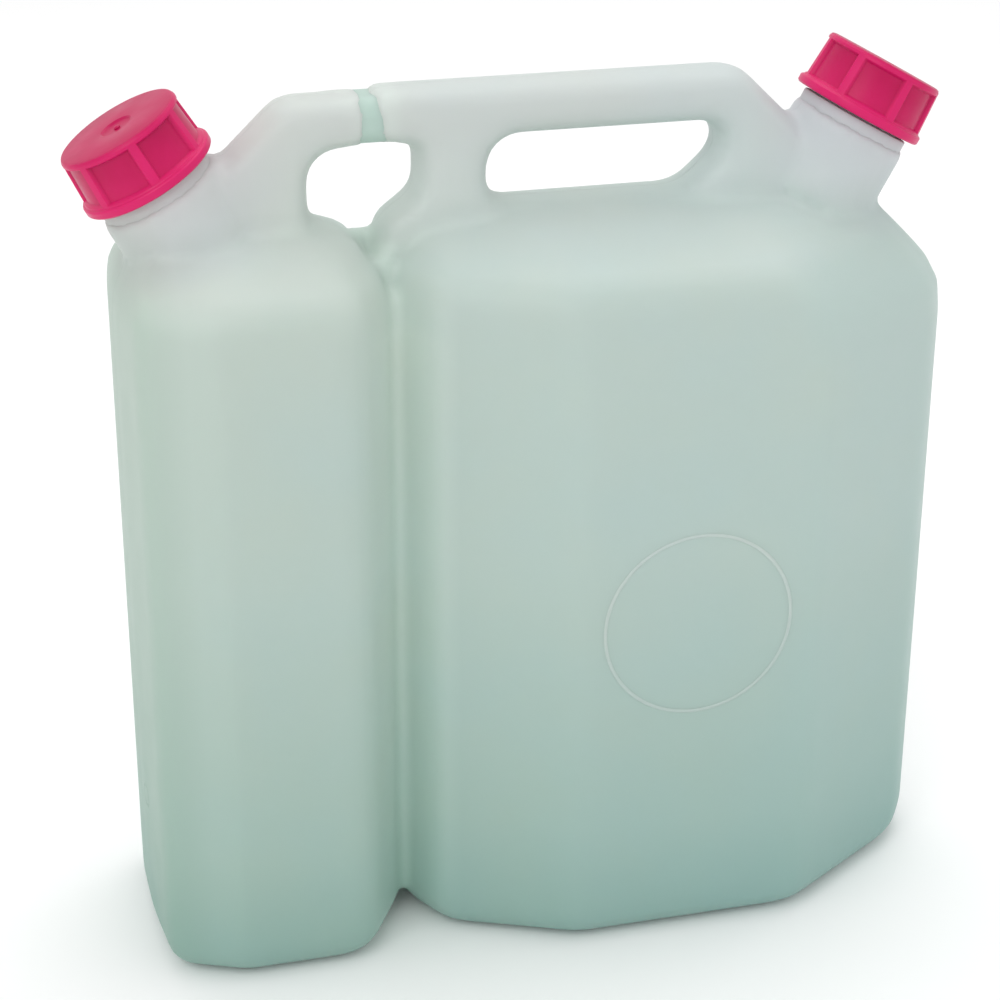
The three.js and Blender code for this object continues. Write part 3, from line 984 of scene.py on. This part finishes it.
@dataclass
class ScrewCap:
    """A moulded cap: a flange at its mouth, sunk panels between upright ribs, a rim and a flat top.

    Attributes:
        neck: Which neck it closes.
        phase: How far its first rib is turned, in degrees.
        ribs: How many ribs it has.
        columns: How many faces there are from one rib to the next. The rib takes one of them.
        height: Its height, in millimetres.
        flange: The flange's radius.
        flange_height: The flange's thickness.
        foot: The ribs' radius at the flange.
        rim: The ribs' radius at the rim.
        bore: The radius of the inside.
        ceiling: Where the inside ends.
    """

    neck: Neck
    phase: float = 0.0
    ribs: int = 7
    columns: int = 8
    height: float = 22.4
    flange: float = 26.2
    flange_height: float = 3.6
    foot: float = 24.9
    rim: float = 23.8
    bore: float = 19.9
    ceiling: float = 19.0

    def profile(self) -> list[tuple[float, float]]:
        """The section from the middle of the top, down the outside and up the inside.

        Returns:
            Radii and heights.
        """
        return [
            (0, self.height - 0.9), (4.6, self.height - 0.9), (5.6, self.height - 0.7), (6.4, self.height),
            (self.rim - 1.7, self.height), (self.rim - 0.6, self.height - 0.35), (self.rim, self.height - 1.4),
            (self.rim + 0.02, self.height - 2.2), (self.foot, self.flange_height + 0.5),
            (self.foot + 0.35, self.flange_height), (self.flange - 0.5, self.flange_height - 0.1),
            (self.flange, self.flange_height - 0.7), (self.flange, 0.7), (self.flange - 0.6, 0.05),
            (self.bore + 1.0, 0), (self.bore, 0.8), (self.bore, self.ceiling), (0, self.ceiling),
        ]

    def sink_panels(self, shape: bmesh.types.BMesh) -> None:
        """Sinks a panel between each two ribs.

        Args:
            shape: The turned cap.
        """
        step = math.tau / self.ribs

        def is_panel(face: bmesh.types.BMFace) -> bool:
            """Whether a face lies in the band of panels and not on a rib."""
            middle = face.calc_center_median()
            radius = math.hypot(middle.x, middle.y)
            in_band = self.flange_height + 0.4 < middle.z / MM < self.height - 2.2 and radius > (self.rim - 0.6) * MM
            share = (math.atan2(middle.y, middle.x) % step) / step
            return in_band and 1 / self.columns < share

        panels = [face for face in shape.faces if is_panel(face)]
        bmesh.ops.inset_region(shape, faces=panels, thickness=0.15 * MM, depth=0, use_even_offset=True)
        bmesh.ops.inset_region(shape, faces=panels, thickness=0.9 * MM, depth=-1.5 * MM, use_even_offset=True)

    def gate_mark(self, shape: bmesh.types.BMesh) -> None:
        """Adds the small nub where the plastic entered the mould.

        Args:
            shape: The cap.
        """
        nub = Matrix.Translation((0, 0, (self.height - 0.7) * MM))
        bmesh.ops.create_uvsphere(shape, u_segments=16, v_segments=8, radius=1.3 * MM,
                                  matrix=nub @ Matrix.Diagonal((1, 1, 0.55, 1)))

    def build(self) -> bpy.types.Object:
        """Builds the cap and lets it stand for its CAD node.

        Returns:
            The cap.
        """
        place = NeckFrame.of(self.neck)
        shape = spun(self.profile(), self.ribs * self.columns)
        self.sink_panels(shape)
        self.gate_mark(shape)
        bmesh.ops.transform(shape, matrix=place.matrix(self.phase), verts=shape.verts)
        plastic = CapPlastic().material(f"{self.neck.value}_cap_plastic", place)
        made = Bench.place(f"{self.neck.value}_screw_cap", shape, plastic, 0.9)
        rounded = made.modifiers.new("rounded", "BEVEL")
        rounded.width = 0.3 * MM
        rounded.segments = 3
        rounded.limit_method = "ANGLE"
        rounded.angle_limit = math.radians(28)
        Bench.settle(made)
        made.data.shade_smooth()
        made.data.set_sharp_from_angle(angle=1.0)
        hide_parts(f"{self.neck.value}_cap")
        Bench.report(made, f"{self.neck.value}_cap")
        return made


@dataclass
class SealingDisc:
    """The soft disc under a cap's top.

    Attributes:
        neck: Which neck it closes.
        radius: Its radius, in millimetres.
        low: Its lower face.
        high: Its upper face.
    """

    neck: Neck
    radius: float = 18.8
    low: float = 17.3
    high: float = 18.7

    def build(self) -> bpy.types.Object:
        """Builds the disc and lets it stand for its CAD node.

        Returns:
            The disc.
        """
        edge = 0.3
        profile = [(0, self.low), (self.radius - edge, self.low), (self.radius, self.low + edge),
                   (self.radius, self.high - edge), (self.radius - edge, self.high), (0, self.high)]
        shape = spun(profile, 64)
        bmesh.ops.transform(shape, matrix=NeckFrame.of(self.neck).matrix(), verts=shape.verts)
        made = Bench.place(f"{self.neck.value}_sealing_disc", shape, SealFoam().material(f"{self.neck.value}_foam"))
        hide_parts(f"{self.neck.value}_cap_seal")
        Bench.report(made, f"{self.neck.value}_seal")
        return made


@dataclass
class Studio:
    """The pale floor, the soft lights and the camera.

    Attributes:
        yaw: How far the camera stands to the left of the can's front, in degrees.
        pitch: How far it looks down.
        roll: How far it is tilted.
        focal: Its focal length in pixels of a picture 1000 wide.
        away: Its distance from the point that it looks at, in metres.
        target: That point.
    """

    yaw: float = 14.995
    pitch: float = 24.096
    roll: float = 0.22
    focal: float = 2396.66
    away: float = 0.951726
    target: tuple[float, float, float] = (-0.007278, 0.00022, 0.170597)

    def camera(self) -> None:
        """Sets the camera up at the photograph's view."""
        yaw, pitch, roll = (math.radians(angle) for angle in (self.yaw, self.pitch, self.roll))
        ahead = Vector((math.sin(yaw) * math.cos(pitch), math.cos(yaw) * math.cos(pitch), -math.sin(pitch)))
        right = Vector((math.cos(yaw), -math.sin(yaw), 0))
        upward = right.cross(ahead)
        across = right * math.cos(roll) + upward * math.sin(roll)
        up = upward * math.cos(roll) - right * math.sin(roll)
        data = bpy.data.cameras.new("camera")
        data.sensor_width = 36
        data.lens = 36 * self.focal / 1000
        data.clip_start, data.clip_end = 0.05, 50
        made = bpy.data.objects.new("camera", data)
        made.matrix_world = Matrix.Translation(Vector(self.target) - ahead * self.away) @ Matrix(
            (across, up, -ahead)).transposed().to_4x4()
        bpy.context.scene.collection.objects.link(made)
        bpy.context.scene.camera = made

    def floor(self) -> None:
        """Lays a wide, pale, flat floor."""
        shape = bmesh.new()
        bmesh.ops.create_grid(shape, x_segments=2, y_segments=2, size=9)
        finish = Finish("pale_floor")
        pale = finish.mix(finish.noise(3.0, 1.0), (0.965, 0.965, 0.965, 1), (0.98, 0.98, 0.98, 1))
        finish.feed(finish.shader.inputs["Base Color"], pale)
        finish.shader.inputs["Roughness"].default_value = 0.9
        finish.shader.inputs["Specular IOR Level"].default_value = 0.1
        made = Bench.place("floor", shape, finish.material)

    def light(self, name: str, place: tuple[float, float, float], size: float, power: float) -> None:
        """Hangs one soft light that faces the can.

        Args:
            name: The light's name.
            place: Where it hangs.
            size: Its side, in metres.
            power: Its power, in watts.
        """
        data = bpy.data.lights.new(name, "AREA")
        data.shape = "SQUARE"
        data.size = size
        data.energy = power
        made = bpy.data.objects.new(name, data)
        made.location = place
        made.rotation_mode = "QUATERNION"
        made.rotation_quaternion = (Vector(self.target) - Vector(place)).to_track_quat("-Z", "Y")
        bpy.context.scene.collection.objects.link(made)

    def surroundings(self) -> None:
        """Gives the even white surroundings of a light tent."""
        world = bpy.data.worlds.new("white_tent")
        world.use_nodes = True
        background = world.node_tree.nodes["Background"]
        background.inputs["Color"].default_value = (1, 1, 1, 1)
        background.inputs["Strength"].default_value = 0.86
        bpy.context.scene.world = world
        bpy.context.scene.view_settings.view_transform = "Standard"
        bpy.context.scene.view_settings.look = "None"

    def build(self) -> None:
        """Sets up the whole studio."""
        self.surroundings()
        self.floor()
        self.light("key", (-1.1, -1.5, 1.9), 1.4, 14)
        self.light("top", (0.3, 0.6, 2.2), 1.6, 12)
        self.camera()


def main() -> None:
    """Builds the can's pieces in order."""
    logging.basicConfig(level=logging.INFO, format="%(name)s %(message)s")
    Studio().build()
    BlownBody().build()
    PinchedWeb().build()
    RaisedRing().build()
    for neck, phase in ((Neck.OIL, 14.0), (Neck.FUEL, 12.2)):
        NeckFinish(neck).build()
        SealingDisc(neck).build()
        ScrewCap(neck, phase).build()


if __name__ == "__main__":
    main()
